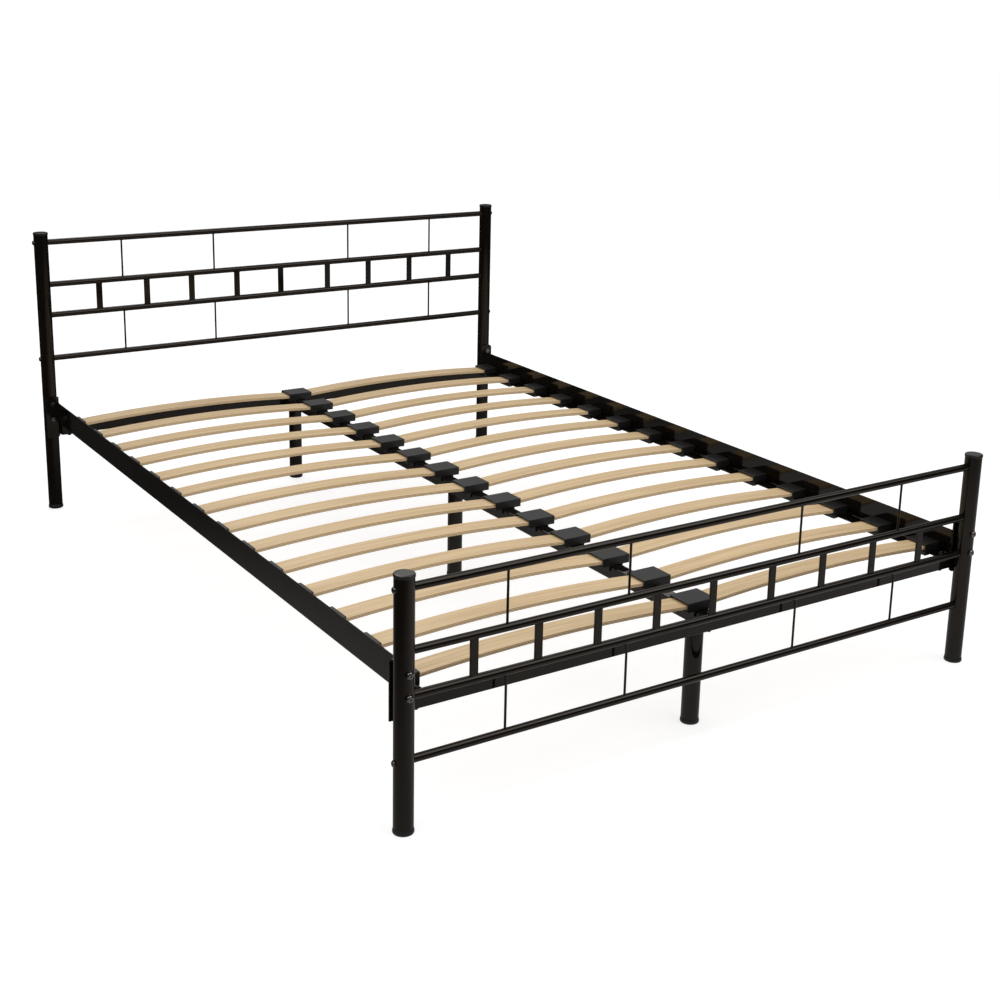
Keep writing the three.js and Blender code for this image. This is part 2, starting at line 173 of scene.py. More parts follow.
def pick(piece, kind, wanted):
    """Selects the parts of a piece in edit mode for which wanted is true. It is called with a face's centre
    and normal, an edge's two ends or a vertex's place."""
    shape = bmesh.from_edit_mesh(piece.data)
    parts, facts = {
        "FACE": (shape.faces, lambda face: (face.calc_center_median(), face.normal)),
        "EDGE": (shape.edges, lambda edge: (edge.verts[0].co, edge.verts[1].co)),
        "VERT": (shape.verts, lambda vertex: (vertex.co,)),
    }[kind]
    for part in parts:
        part.select_set(bool(wanted(*facts(part))))
    shape.select_flush_mode()
    bmesh.update_edit_mesh(piece.data)


def extrude(piece, move, wanted):
    """Extrudes the faces for which wanted(centre, normal) is true."""
    with editing(piece):
        pick(piece, "FACE", wanted)
        bpy.ops.mesh.extrude_region_move(TRANSFORM_OT_translate={"value": move})


def bevel(piece, width, steps, wanted):
    """Rounds the edges for which wanted(one end, other end) is true."""
    with editing(piece, "EDGE"):
        pick(piece, "EDGE", wanted)
        bpy.ops.mesh.bevel(offset=width, segments=steps, affect="EDGES")


def modify(piece, kind, **settings):
    """Adds a modifier and applies it."""
    make_active(piece)
    modifier = piece.modifiers.new(kind.lower(), kind)
    for name, value in settings.items():
        setattr(modifier, name, value)
    bpy.ops.object.modifier_apply(modifier=modifier.name)


def thicken(piece, wall):
    """Gives an open shell a wall inwards."""
    modify(piece, "SOLIDIFY", thickness=wall, offset=-1, use_even_offset=True)


def cuboid(low, high):
    low, high = Vector(low), Vector(high)
    deselect()
    bpy.ops.mesh.primitive_cube_add(size=1, location=(low + high) / 2, scale=high - low)
    return hold_place()


def rod_along(axis, radius, start, stop, sides=SMALL_SIDES, filled=True):
    """A round bar along X, Y or Z from one place to another, which differ only along that axis."""
    start, stop = Vector(start), Vector(stop)
    deselect()
    bpy.ops.mesh.primitive_cylinder_add(
        vertices=sides,
        radius=radius,
        depth=(stop - start).length,
        end_fill_type="NGON" if filled else "NOTHING",
        location=(start + stop) / 2,
        rotation={"X": (0, math.pi / 2, 0), "Y": (math.pi / 2, 0, 0), "Z": (0, 0, 0)}[axis],
    )
    return hold_place()


def turned(outline, sides=SMALL_SIDES):
    """A solid turned about Z. The outline is (radius, height) pairs from the first flat end to the last."""
    (radius, height), *rest = outline
    deselect()
    bpy.ops.mesh.primitive_circle_add(
        vertices=sides, radius=radius, fill_type="NGON", location=(0, 0, height)
    )
    piece = hold_place()
    with editing(piece):
        bpy.ops.mesh.select_all(action="SELECT")
        for next_radius, next_height in rest:
            step = (0, 0, next_height - height)
            bpy.ops.mesh.extrude_region_move(TRANSFORM_OT_translate={"value": step})
            growth = next_radius / radius
            bpy.ops.transform.resize(value=(growth, growth, 1), center_override=(0, 0, next_height))
            radius, height = next_radius, next_height
        bpy.ops.mesh.select_all(action="SELECT")
        bpy.ops.mesh.normals_make_consistent(inside=False)
    return piece


def arc(centre_radius, centre_height, radius, start, stop):
    """Points (radius, height) of an arc, its angles in degrees from straight outwards."""
    angles = [math.radians(start + (stop - start) * i / ARC_STEPS) for i in range(ARC_STEPS + 1)]
    return [(centre_radius + radius * math.cos(a), centre_height + radius * math.sin(a)) for a in angles]


def along(axis):
    return Vector([float(axis == name) for name in "XYZ"])


def drill(piece, axis, radius, *centres, reach=THROUGH, sides=SMALL_SIDES):
    """Cuts a hole along X, Y or Z through each centre, as far as reach to either side of it."""
    half = along(axis) * reach
    for centre in centres:
        tool = rod_along(axis, radius, Vector(centre) - half, Vector(centre) + half, sides)
        modify(piece, "BOOLEAN", operation="DIFFERENCE", solver="EXACT", object=tool)
        discard(tool)


def ring_at(piece, axis, *places):
    """Adds an edge loop across a piece at each place along an axis."""
    with editing(piece):
        for place in places:
            bpy.ops.mesh.select_all(action="SELECT")
            bpy.ops.mesh.bisect(plane_co=along(axis) * place, plane_no=along(axis))


def join(pieces):
    deselect()
    for piece in pieces:
        piece.select_set(True)
    bpy.context.view_layer.objects.active = pieces[0]
    bpy.ops.object.join()
    return pieces[0]


def smooth(piece, flats=False):
    """Smooth shading up to sharp edges. With flats, large flat faces stay flat between rounded edges."""
    make_active(piece)
    bpy.ops.object.shade_smooth_by_angle(angle=SHARP_ANGLE)
    if flats:
        modify(piece, "WEIGHTED_NORMAL", keep_sharp=True)
    return piece


def ease(piece, width, steps=2, flats=True):
    """Takes the sharpness off all of a piece's edges and shades it smooth."""
    limits = {"limit_method": "ANGLE", "angle_limit": BEVEL_ANGLE, "use_clamp_overlap": True}
    modify(piece, "BEVEL", width=width, segments=steps, **limits)
    return smooth(piece, flats)


def discard(*pieces):
    for piece in pieces:
        bpy.data.objects.remove(piece)


def put(master, name, finish, place=Matrix.Identity(4), instead_of=()):
    """A finished copy of a master shape at its place, with its own mesh, finish and body."""
    mesh = master.data.copy()
    mesh.name = name
    mesh.transform(place)
    mesh.materials.clear()
    mesh.materials.append(finish["material"]())
    piece = bpy.data.objects.new(name, mesh)
    bpy.context.scene.collection.objects.link(piece)
    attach(piece, BODY)
    if instead_of:
        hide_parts(*instead_of)
    return piece


def at(x, y, z):
    return Matrix.Translation((x, y, z))


def at_post(side, way, z=0):
    return at(way * POST_X, side * POST_Y, z)


def turn(degrees, axis):
    return Matrix.Rotation(math.radians(degrees), 4, axis)


def facing(way):
    """No turn for the way that a shape is modelled in, which is 1, and half a turn about Z for -1."""
    return turn(180 if way < 0 else 0, "Z")


# ---- sizes and colours


def sizes():
    return bpy.context.scene.bed_sizes


def looks():
    return bpy.context.scene.bed_looks


def length(name, description, default):
    return FloatProperty(name=name, description=description, default=default * MM, unit="LENGTH", precision=4)


def colour(name, description, default):
    return FloatVectorProperty(
        name=name, description=description, default=default, subtype="COLOR", size=3, min=0, max=1
    )


class BedSizes(bpy.types.PropertyGroup):
    """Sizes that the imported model's boxes don't give by themselves."""

    post_wall: length("Post wall", "Wall thickness of the posts and legs", 1.5)
    tube_wall: length("Tube wall", "Wall thickness of the boards' tubes", 1.2)
    bar_thickness: length("Bar thickness", "Thickness of the upright bars", 5)
    weld: length("Weld", "Thickness of a weld bead", 1.3)
    rail_thickness: length("Rail thickness", "Sheet thickness of the side rails", 2.5)
    rail_height: length("Rail height", "Height of a side rail's upright leg", 60)
    plate_thickness: length("Plate thickness", "Thickness of the side rails' end plates", 4)
    plate_corner: length("Plate corner", "Radius of the end plates' two large corners", 10)
    profile_wall: length("Profile wall", "Wall thickness of the cross-bars and the beam", 1.5)
    profile_corner: length("Profile corner", "Outer corner radius of the cross-bars and the beam", 2.5)
    cross_height: length("Cross-bar height", "Height of the cross-bars' tube", 30)
    rail_screw_head: length("Rail screw head", "Diameter of the rail screws' heads", 14)
    rail_screw_shank: length("Rail screw shank", "Diameter of the rail screws' shanks", 8)
    panel_screw_head: length("Panel screw head", "Diameter of the panel screws' heads", 12)
    panel_screw_shank: length("Panel screw shank", "Diameter of the panel screws' shanks", 6)
    slat_width: length("Slat width", "Width of a slat", 53)
    slat_thickness: length("Slat thickness", "Thickness of a slat", 8)
    slat_rise: length("Slat rise", "Height of a slat's bow at its middle", 14)
    slat_grip: length("Slat grip", "Length of slat inside each holder", 26)
    holder_height: length("Holder height", "Height of the slat holders above the ledge", 20)
    holder_floor: length("Holder floor", "Plastic under a slat's end", 4)


class BedLooks(bpy.types.PropertyGroup):
    """Colours and gloss."""

    coat_colour: colour("Coat", "Colour of the powder coat", (0.0036, 0.0025, 0.0017))
    coat_roughness: FloatProperty(
        name="Coat roughness", description="Roughness of the powder coat", default=0.08, min=0.05, max=1
    )
    plastic_colour: colour("Plastic", "Colour of caps, glides and holders", (0.0100, 0.0092, 0.0088))
    screw_colour: colour("Screws", "Colour of screws and nuts", (0.24, 0.23, 0.215))
    birch_colour: colour("Birch", "Light colour of the slats", (0.70, 0.52, 0.30))
    birch_dark_colour: colour("Birch grain", "Dark colour of the slats' grain", (0.50, 0.33, 0.16))
    floor_colour: colour("Floor", "Colour of the studio floor", (0.90, 0.90, 0.90))


# ---- finishes


class Tree:
    """A node tree to add to. A value is a number, a colour or the socket that it comes from."""

    def __init__(self, owner):
        owner.use_nodes = True
        self.nodes, self.links = owner.node_tree.nodes, owner.node_tree.links

    def feed(self, socket, value):
        if isinstance(value, bpy.types.NodeSocket):
            self.links.new(value, socket)
        else:
            socket.default_value = value

    def give(self, node, **settings):
        """Feeds a node's inputs by name, with _ for a space, and sets its other settings."""
        for name, value in settings.items():
            label = name.replace("_", " ")
            if label in node.inputs:
                self.feed(node.inputs[label], value)
            else:
                setattr(node, name, value)

    def add(self, kind, result=0, places=None, **settings):
        """A new node's result socket. Inputs that share a name are fed by their place."""
        node = self.nodes.new(kind)
        self.give(node, **settings)
        for place, value in (places or {}).items():
            self.feed(node.inputs[place], value)
        return node.outputs[result]

    def noise(self, source, scale, detail, stretch=(1, 1, 1)):
        """Noise on a coordinate socket, stretched along its axes."""
        mapped = self.add("ShaderNodeMapping", Vector=source, Scale=stretch)
        return self.add("ShaderNodeTexNoise", Vector=mapped, Scale=scale, Detail=detail)

    def ramp(self, factor, dark, light, start=0.3, stop=0.7):
        ramp = self.add("ShaderNodeValToRGB", Fac=factor)
        first, last = ramp.node.color_ramp.elements
        first.position, last.position = start, stop
        first.color, last.color = (*dark, 1), (*light, 1)
        return ramp

    def math(self, operation, *values, kind="ShaderNodeMath"):
        """A number from other numbers, or from vectors with the kind ShaderNodeVectorMath."""
        return self.add(kind, "Value", dict(enumerate(values)), operation=operation)

    def bump(self, height, distance):
        return self.add("ShaderNodeBump", Strength=1, Distance=distance, Height=height)

    def around(self, factor, value, spread):
        """A number that strays from a value by no more than spread."""
        return self.add("ShaderNodeMapRange", Value=factor, To_Min=value - spread, To_Max=value + spread)

    def smooth_step(self, value, start, stop, low, high):
        """A number that goes from low to high as the value goes from start to stop."""
        step = self.add("ShaderNodeMapRange", interpolation_type="SMOOTHSTEP", Value=value)
        self.give(step.node, From_Min=start, From_Max=stop, To_Min=low, To_Max=high)
        return step

    def by_ray(self, **amounts):
        """A number that differs by the kind of ray: the sum of each amount on its ray kind."""
        rays = self.add("ShaderNodeLightPath").node.outputs
        total = 0
        for kind, amount in amounts.items():
            total = self.math("MULTIPLY_ADD", rays[kind.replace("_", " ")], amount, total)
        return total


def shade(colour, factor):
    return tuple(channel * factor for channel in colour)


def node_material(name, build):
    """The material of that name, built by build(tree, shader) the first time."""
    material = bpy.data.materials.get(name)
    if material is None:
        material = bpy.data.materials.new(name)
        tree = Tree(material)
        build(tree, tree.nodes["Principled BSDF"])
    return material


def mottle(tree, shader, colour, scale, detail, tints, roughness, spread):
    """Clouds a colour and its gloss with noise. Returns the coordinates and the noise."""
    place = tree.add("ShaderNodeTexCoord", "Object")
    cloud = tree.noise(place, scale, detail)
    tint = tree.ramp(cloud, *[shade(colour, factor) for factor in tints])
    tree.give(shader, Base_Color=tint, Roughness=tree.around(cloud, roughness, spread))
    return place, cloud


def powder_coat(tree, shader):
    """Glossy black powder coat with its fine orange peel."""
    place, _ = mottle(tree, shader, looks().coat_colour, 14, 2, (0.8, 1.25), looks().coat_roughness, 0.02)
    tree.give(
        shader,
        Normal=tree.bump(tree.noise(place, 520, 1), 0.008 * MM),
        Specular_IOR_Level=0.44,
        Specular_Tint=(1.0, 0.90, 0.81, 1),
    )


def grained_plastic(tree, shader):
    """Moulded plastic with a fine grain."""
    _, grain = mottle(tree, shader, looks().plastic_colour, 1400, 3, (0.75, 1.3), 0.42, 0.06)
    tree.give(shader, Normal=tree.bump(grain, 0.04 * MM))


def smooth_plastic(tree, shader):
    """The caps' polished plastic, with faint clouding from handling."""
    place, _ = mottle(tree, shader, looks().plastic_colour, 60, 3, (0.75, 1.3), 0.2, 0.03)
    texture = tree.noise(place, 900, 1)
    tree.give(shader, Normal=tree.bump(texture, 0.01 * MM), Specular_Tint=(1.0, 0.86, 0.76, 1))


def black_zinc(level, roughness):
    """Steel in black zinc, at a level of the screws' colour. A level below 1 is painted shade: a darker copy
    of the same steel.
    """

    def build(tree, shader):
        mottle(tree, shader, shade(looks().screw_colour, level), 260, 2, (0.7, 1.4), roughness, 0.03)
        tree.give(shader, Metallic=1)

    return build


def birch(tree, shader):
    """Lacquered birch plywood. It reads the flat slat's coordinates, so grain and plies follow the bow."""
    light, dark = looks().birch_colour, looks().birch_dark_colour
    flat = tree.add("ShaderNodeAttribute", "Vector", attribute_name="grain")
    streaks = tree.noise(flat, 6, 6, (0.5, 18, 1))
    fibres = tree.noise(flat, 40, 3, (0.4, 30, 1))
    mixed = tree.add("ShaderNodeMix", places={0: 0.35, 2: streaks, 3: fibres}, data_type="FLOAT")
    face = tree.ramp(mixed, dark, light, 0.32, 0.62)
    plies = tree.add("ShaderNodeTexWave", "Fac", Vector=flat, bands_direction="Z", Scale=110, Distortion=0.4)
    edge = tree.ramp(plies, shade(dark, 0.55), light, 0.35, 0.6)
    side = tree.add("ShaderNodeAttribute", "Vector", attribute_name="side")
    on_edge = tree.add("ShaderNodeSeparateXYZ", "X", Vector=side)
    tint = tree.add("ShaderNodeMix", 2, {0: on_edge, 6: face, 7: edge}, data_type="RGBA")
    tree.give(
        shader,
        Base_Color=tint,
        Roughness=tree.around(mixed, 0.42, 0.08),
        Normal=tree.bump(fibres, 0.05 * MM),
    )


def finish_of(slot, name, build):
    """A slot, and the material in it, which is built when a piece first asks for it."""
    return {"material": lambda: node_material(name, build), "slot": slot}


COAT = finish_of("powder_coat", "glossy_black_coat", powder_coat)
PLASTIC = finish_of("black_plastic", "grained_black_plastic", grained_plastic)
CAP_PLASTIC = finish_of("black_plastic", "smooth_black_plastic", smooth_plastic)
STEEL = finish_of("bolt_steel", "shiny_black_zinc", black_zinc(1, 0.11))
# The cross-bars' screws, washers and nuts use the same black zinc. It is rougher, and it is darkened to a
# quarter as painted shade.
DULL_STEEL_PAINTED_SHADE = finish_of("bolt_steel", "dull_black_zinc_painted_shade", black_zinc(0.25, 0.3))
BIRCH = finish_of("plywood", "lacquered_birch", birch)


# ---- posts, caps and glides


PLUG_WALL = 2 * MM


def post_screws():
    """The kinds of screw through a post, and how far from a hole's middle the post's mesh has its rings."""
    size = sizes()
    kinds = {
        "rail_bolt": ("Y", size.rail_screw_head, size.rail_screw_shank, 5 * MM, 6.5 * MM),
        "panel_bolt": ("X", size.panel_screw_head, size.panel_screw_shank, 4 * MM, 5 * MM),
    }
    names = ("axis", "head", "shank", "socket", "ring")
    return {kind: SimpleNamespace(**dict(zip(names, values))) for kind, values in kinds.items()}


def plug_radii():
    """Outer and inner radius of the plug of a cap or a glide."""
    plug = POST_R - sizes().post_wall - CLEARANCE
    return plug, plug - PLUG_WALL


class BED_OT_posts(bpy.types.Operator):
    """Round posts with the holes for their screws"""

    bl_idname = "bed.posts"
    bl_label = "Posts"

    def execute(self, context):
        for end, side in ENDS.items():
            label = f"{end}_right"
            low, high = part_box(f"post_{label}")
            post = rod_along("Z", POST_R, (0, 0, low.z), (0, 0, high.z), ROUND_SIDES, filled=False)
            thicken(post, sizes().post_wall)
            holes = [
                (kind, middle(f"{name}_{level}_{label}").z)
                for level in LEVELS
                for name, kind in post_screws().items()
            ]
            for kind, height in holes:
                ring_at(post, "Z", height - kind.ring, height + kind.ring)
            for kind, height in holes:
                drill(post, kind.axis, kind.shank / 2 + CLEARANCE, (0, 0, height), reach=2 * POST_R)
            smooth(post)
            for hand, way in HANDS.items():
                name = f"post_{end}_{hand}"
                put(post, f"{name}_tube", COAT, at_post(side, way), [name])
            discard(post)
        return {"FINISHED"}


class BED_OT_caps(bpy.types.Operator):
    """Flat plastic caps on the posts, each with its plug"""

    bl_idname = "bed.caps"
    bl_label = "Post caps"

    def execute(self, context):
        low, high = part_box("post_cap_foot_left")
        rim = (high.x - low.x) / 2
        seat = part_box("post_foot_left")[1].z + CLEARANCE - high.z
        plug, bore = plug_radii()
        bottom = low.z - high.z
        roof, taper, crown = 1 * MM, 0.5 * MM, 2 * MM
        groove, groove_depth, face = rim - 3.4 * MM, 0.45 * MM, rim - 4.6 * MM
        inside = [(bore, seat - roof), (bore, bottom), (plug - taper, bottom), (plug, bottom + 3 * taper)]
        side = [(plug, seat), (rim - 0.3 * MM, seat), (rim, seat + 0.5 * MM)]
        top = [(groove, -groove_depth), (face, 0), (face - 0.4 * MM, 0)]
        cap = smooth(turned(inside + side + arc(rim - crown, -crown, crown, 0, 80) + top, ROUND_SIDES))
        for end, side, hand, way in CORNERS:
            name = f"post_cap_{end}_{hand}"
            put(cap, f"{name}_moulding", CAP_PLASTIC, at_post(side, way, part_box(name)[1].z), [name])
        discard(cap)
        return {"FINISHED"}


class BED_OT_glides(bpy.types.Operator):
    """Plastic glides under the posts and the centre legs"""

    bl_idname = "bed.glides"
    bl_label = "Glides"

    def execute(self, context):
        low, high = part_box("glide_foot_left")
        foot = (high.x - low.x) / 2
        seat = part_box("post_foot_left")[0].z - CLEARANCE
        plug, bore = plug_radii()
        sole, side_top, slope, floor = 3 * MM, 4.2 * MM, 0.6 * MM, 4 * MM
        under = [(foot - sole, 0), *arc(foot - sole, sole, sole, -70, 0)]
        side = [(foot, side_top), (POST_R + 0.15 * MM, seat - slope), (POST_R - 0.4 * MM, seat)]
        outside = [(plug, seat), (plug, high.z - 1.5 * MM), (plug - slope, high.z)]
        inside = [(bore, high.z), (bore, seat - floor)]
        glide = smooth(turned(under + side + outside + inside, ROUND_SIDES))
        names = [f"glide_{end}_{hand}" for end, _, hand, _ in CORNERS]
        for name in names + [f"centre_glide_{leg}" for leg in LEGS]:
            centre = middle(name)
            put(glide, f"{name}_moulding", PLASTIC, at(centre.x, centre.y, 0), [name])
        discard(glide)
        return {"FINISHED"}


# ---- head and foot board


TUBE_SHORT = 8 * MM  # how far from a post a tube ends before its end is shaped to the post
INSERT_SHORT = 2 * MM
INSERT_LENGTH = 25 * MM
BAR_SINK = 0.6 * MM  # how far a bar's end stands in its tube
ROD_SINK = 0.5 * MM
BEAD_LUMPS = 0.12  # unevenness of a bead, as a share of its thickness


def saddle_tube():
    """A board's tube along X, its ends shaped to the posts' round."""
    reach = POST_X - POST_R - TUBE_SHORT
    tube = rod_along("X", TUBE_R, (-reach, 0, 0), (reach, 0, 0), TUBE_SIDES, filled=False)
    for way in HANDS.values():
        centre = way * POST_X
        post = rod_along("Z", POST_R + CLEARANCE, (centre, 0, -POST_R), (centre, 0, POST_R), 2 * ROUND_SIDES)
        tip = tube.vertex_groups.new(name="tip")
        tip.add([v.index for v in tube.data.vertices if v.co.x * way > 0], 1.0, "REPLACE")
        modify(
            tube,
            "SHRINKWRAP",
            wrap_method="PROJECT",
            target=post,
            vertex_group="tip",
            use_project_x=True,
            use_positive_direction=way > 0,
            use_negative_direction=way < 0,
        )
        tube.vertex_groups.clear()
        discard(post)
    thicken(tube, sizes().tube_wall)
    return smooth(tube)


class BED_OT_board_tubes(bpy.types.Operator):
    """The boards' tubes, and the threaded inserts in those that are screwed to the posts"""

    bl_idname = "bed.board_tubes"
    bl_label = "Board tubes"

    def execute(self, context):
        tube = saddle_tube()
        bore = sizes().panel_screw_shank / 2 + CLEARANCE
        outer = TUBE_R - sizes().tube_wall
        insert_end = POST_X - POST_R - INSERT_SHORT
        section = [(bore, 0), (outer, 0), (outer, INSERT_LENGTH), (bore, INSERT_LENGTH), (bore, 0.01 * MM)]
        insert = ease(turned(section), 0.4 * MM, flats=False)
        nodes = ("top_rail", "ladder", "ladder", "bottom_rail")
        for end, side in ENDS.items():
            for count, (node, height) in enumerate(zip(nodes, tube_heights(end)), start=1):
                place = at(0, side * POST_Y, height)
                put(tube, f"{end}board_tube_{count}", COAT, place, [f"{end}board_{node}"])
                for hand, way in HANDS.items() if node != "ladder" else ():
                    inside = place @ at(way * insert_end, 0, 0) @ turn(-90 * way, "Y")
                    put(insert, f"{end}board_insert_{count}_{hand}", STEEL, inside)
        discard(tube, insert)
        return {"FINISHED"}


def put_row(master, name, spans, end, node):
    """Copies of a board's bar or rod in the middle of each span."""
    for count, (low, high) in enumerate(spans, start=1):
        put(master, f"{name}_{count}", COAT, at((low + high) / 2, ENDS[end] * POST_Y, 0), [node])
    discard(master)


class BED_OT_board_bars(bpy.types.Operator):
    """The flat upright bars between the second and third tube"""

    bl_idname = "bed.board_bars"
    bl_label = "Board bars"

    def execute(self, context):
        half = sizes().bar_thickness / 2
        seat = TUBE_R - BAR_SINK
        for end in ENDS:
            _, second, third, _ = tube_heights(end)
            spans = bar_spans(end)
            width = (spans[0][1] - spans[0][0]) / 2
            bar = cuboid((-width, -half, third + seat), (width, half, second - seat))
            bevel(bar, 1.1 * MM, 4, lambda a, b: abs(a.z - b.z) > half)
            smooth(bar, flats=True)
            put_row(bar, f"{end}board_bar", spans, end, f"{end}board_ladder")
        return {"FINISHED"}


class BED_OT_board_rods(bpy.types.Operator):
    """The thin rods above and below the bars, flared where they are welded"""

    bl_idname = "bed.board_rods"
    bl_label = "Board rods"

    def execute(self, context):
        seat = TUBE_R - ROD_SINK
        flare = 1.1 * MM
        for end in ENDS:
            first, second, third, fourth = tube_heights(end)
            spans = rod_spans(end)
            radius = (spans[0][1] - spans[0][0]) / 2
            bands = (("upper", "top", second, first), ("lower", "bottom", fourth, third))
            for band, node, low, high in bands:
                below = arc(radius + flare, low + seat + flare, flare, 270, 180)
                above = arc(radius + flare, high - seat - flare, flare, 180, 90)
                rod = smooth(turned(below + above, ROD_SIDES))
                put_row(rod, f"{end}board_rod_{band}", spans, end, f"{end}board_{node}_rail")
        return {"FINISHED"}


def weld_bead(half_x, half_y, thickness, seed):
    """A lumpy bead round a bar of that half width and depth, in the plane of X and Y."""
    deselect()
    bpy.ops.mesh.primitive_torus_add(
        major_radius=half_y + thickness / 2, minor_radius=thickness / 2, major_segments=28, minor_segments=8
    )
    bead = hold_place()
    with editing(bead, "VERT"):
        for way in HANDS.values():
            pick(bead, "VERT", lambda place: place.x * way > NEAR / 10)
            bpy.ops.transform.translate(value=(way * (half_x - half_y), 0, 0))
        bpy.ops.mesh.select_all(action="SELECT")
        bpy.ops.transform.vertex_random(offset=thickness * BEAD_LUMPS, seed=seed)
    return smooth(bead)


class BED_OT_board_welds(bpy.types.Operator):
    """The weld beads at the bars' and rods' ends"""

    bl_idname = "bed.board_welds"
    bl_label = "Board welds"

    def execute(self, context):
        weld = sizes().weld
        rod_weld = 0.8 * weld
        seat = TUBE_R - 0.25 * weld
        half_bar = sizes().bar_thickness / 2
        for end, side in ENDS.items():
            first, second, third, fourth = tube_heights(end)
            bar_levels = (second - seat, third + seat)
            rod_levels = (first - seat, second + seat, third - seat, fourth + seat)
            sites = [(low, high, half_bar, weld, bar_levels) for low, high in bar_spans(end)]
            sites += [(low, high, (high - low) / 2, rod_weld, rod_levels) for low, high in rod_spans(end)]
            beads = []
            for seed, (low, high, half_y, thickness, levels) in enumerate(sites):
                bead = weld_bead((high - low) / 2, half_y, thickness, seed)
                places = [at((low + high) / 2, side * POST_Y, level) for level in levels]
                beads += [put(bead, "bead", COAT, place) for place in places]
                discard(bead)
            join(beads).name = f"{end}board_welds"
        return {"FINISHED"}


# ---- side rails


STUD_R = 3 * MM
STUD_HEX = 10 * MM  # across the flats of the head and the nut
LEDGE_HOLE = 3.3 * MM
M8_HOLE = 4.3 * MM
RIPPLE = 2.2 * MM  # length of a straight bead's ripples
RIPPLE_WAIST = 0.82
TIP_WAIST = 0.5
STRIP_LUMPS = 0.08


def nut_shape(width, height, bore):
    """A hexagon nut standing on Z, with its edges eased."""
    nut = rod_along("Z", width / math.sqrt(3), (0, 0, 0), (0, 0, height), HEX_SIDES)
    drill(nut, "Z", bore, (0, 0, 0))
    return ease(nut, 0.45 * MM)


def strip_weld(run, thickness, seed):
    """A straight weld bead along X from 0 to its run, with ripples."""
    bead = rod_along("X", thickness, (0, 0, 0), (run, 0, 0), sides=10)
    steps = max(4, round(run / RIPPLE))
    places = [run * i / steps for i in range(1, steps)]
    ring_at(bead, "X", *places)
    waists = [(x, RIPPLE_WAIST) for x in places[::2]] + [(0, TIP_WAIST), (run, TIP_WAIST)]
    with editing(bead, "VERT"):
        for x, waist in waists:
            pick(bead, "VERT", lambda place: abs(place.x - x) < NEAR)
            bpy.ops.transform.resize(value=(1, waist, waist), center_override=(x, 0, 0))
        bpy.ops.mesh.select_all(action="SELECT")
        bpy.ops.transform.vertex_random(offset=thickness * STRIP_LUMPS, seed=seed)
    return smooth(bead)


def rail_stations():
    """Places on the right side rail, all along X but for the height under its ledge and its end along Y."""
    face = POST_X - (RAIL_HIGH.x - POST_X)
    return SimpleNamespace(
        face=face,
        outer=face + sizes().rail_thickness,
        edge=RAIL_LOW.x,
        stud=RAIL_LOW.x + 15 * MM,
        under=LEDGE_TOP - sizes().rail_thickness,
        end=RAIL_HIGH.y - sizes().plate_thickness,
    )


class BED_OT_side_rails(bpy.types.Operator):
    """Angle-section side rails with their end plates, weld nuts and welds"""

    bl_idname = "bed.side_rails"
    bl_label = "Side rails"

    def execute(self, context):
        rail = rail_stations()
        low = (rail.face, -rail.end, rail.under)
        angle = cuboid(low, (rail.outer, rail.end, rail.under + sizes().rail_height))
        ring_at(angle, "Z", LEDGE_TOP)
        ledge = (rail.edge - rail.face, 0, 0)
        extrude(angle, ledge, lambda place, normal: normal.x < -SQUARE and place.z < LEDGE_TOP)
        drill(angle, "Z", LEDGE_HOLE, *[(rail.stud, y, LEDGE_TOP) for y in (-STUD_Y, STUD_Y)])
        ease(angle, 0.8 * MM, 3)
        plate = self.plate(rail)
        nut = nut_shape(13 * MM, 6.5 * MM, M8_HOLE)
        bead, margin, lift = 1.8 * MM, 3 * MM, 0.3 * MM
        upright_bead = strip_weld(sizes().rail_height - 2 * margin, bead, seed=3)
        ledge_bead = strip_weld(rail.face - rail.edge - 2 * margin, bead, seed=5)
        for hand, way in HANDS.items():
            node = f"side_rail_{hand}"
            over = facing(way)
            put(angle, f"{node}_angle", COAT, over, [node])
            for end, side in ENDS.items():
                toward = side * way
                centre = toward * (RAIL_HIGH.y - sizes().plate_thickness / 2)
                put(plate, f"{node}_plate_{end}", COAT, over @ at(0, centre, 0), [node])
                inner = toward * (rail.end + 0.2 * MM)
                upright = over @ at(rail.face - lift, inner, LEDGE_TOP + margin) @ turn(-90, "Y")
                flat = over @ at(rail.edge + margin, inner, LEDGE_TOP + lift)
                beads = [put(upright_bead, "bead", COAT, upright), put(ledge_bead, "bead", COAT, flat)]
                join(beads).name = f"{node}_weld_{end}"
                for level in LEVELS:
                    height = middle(f"rail_bolt_{level}_{end}_{hand}").z
                    seat = at(POST_X, toward * (rail.end + 0.4 * MM), height) @ turn(90 * toward, "X")
                    put(nut, f"{node}_nut_{level}_{end}", STEEL, over @ seat)
        discard(angle, plate, nut, upright_bead, ledge_bead)
        return {"FINISHED"}

    def plate(self, rail):
        """An end plate at y = 0 between the rail and a post, its low inner and high outer corners round."""
        low, high = RAIL_LOW.z, RAIL_HIGH.z
        half = sizes().plate_thickness / 2
        plate = cuboid((rail.face, -half, low), (RAIL_HIGH.x, half, high))

        def round_corner(a, b):
            return abs(a.y - b.y) > half and (a.x < POST_X) == (a.z < (low + high) / 2)

        bevel(plate, sizes().plate_corner, 8, round_corner)
        heights = [middle(f"rail_bolt_{level}_foot_right").z for level in LEVELS]
        drill(plate, "Y", M8_HOLE, *[(POST_X, 0, height) for height in heights])
        return ease(plate, 0.5 * MM)


# ---- cross-bars, centre beam and centre legs


WASHER_THICK = 1.2 * MM


def profile(low, high, axis):
    """A rectangular tube with rounded corners along X or Y, open at its ends."""
    tube = cuboid(low, high)
    with editing(tube):
        pick(tube, "FACE", lambda place, normal: abs(normal.dot(along(axis))) > SQUARE)
        bpy.ops.mesh.delete(type="FACE")
    bevel(tube, sizes().profile_corner, 4, lambda a, b: abs((a - b).dot(along(axis))) > NEAR)
    thicken(tube, sizes().profile_wall)
    return tube


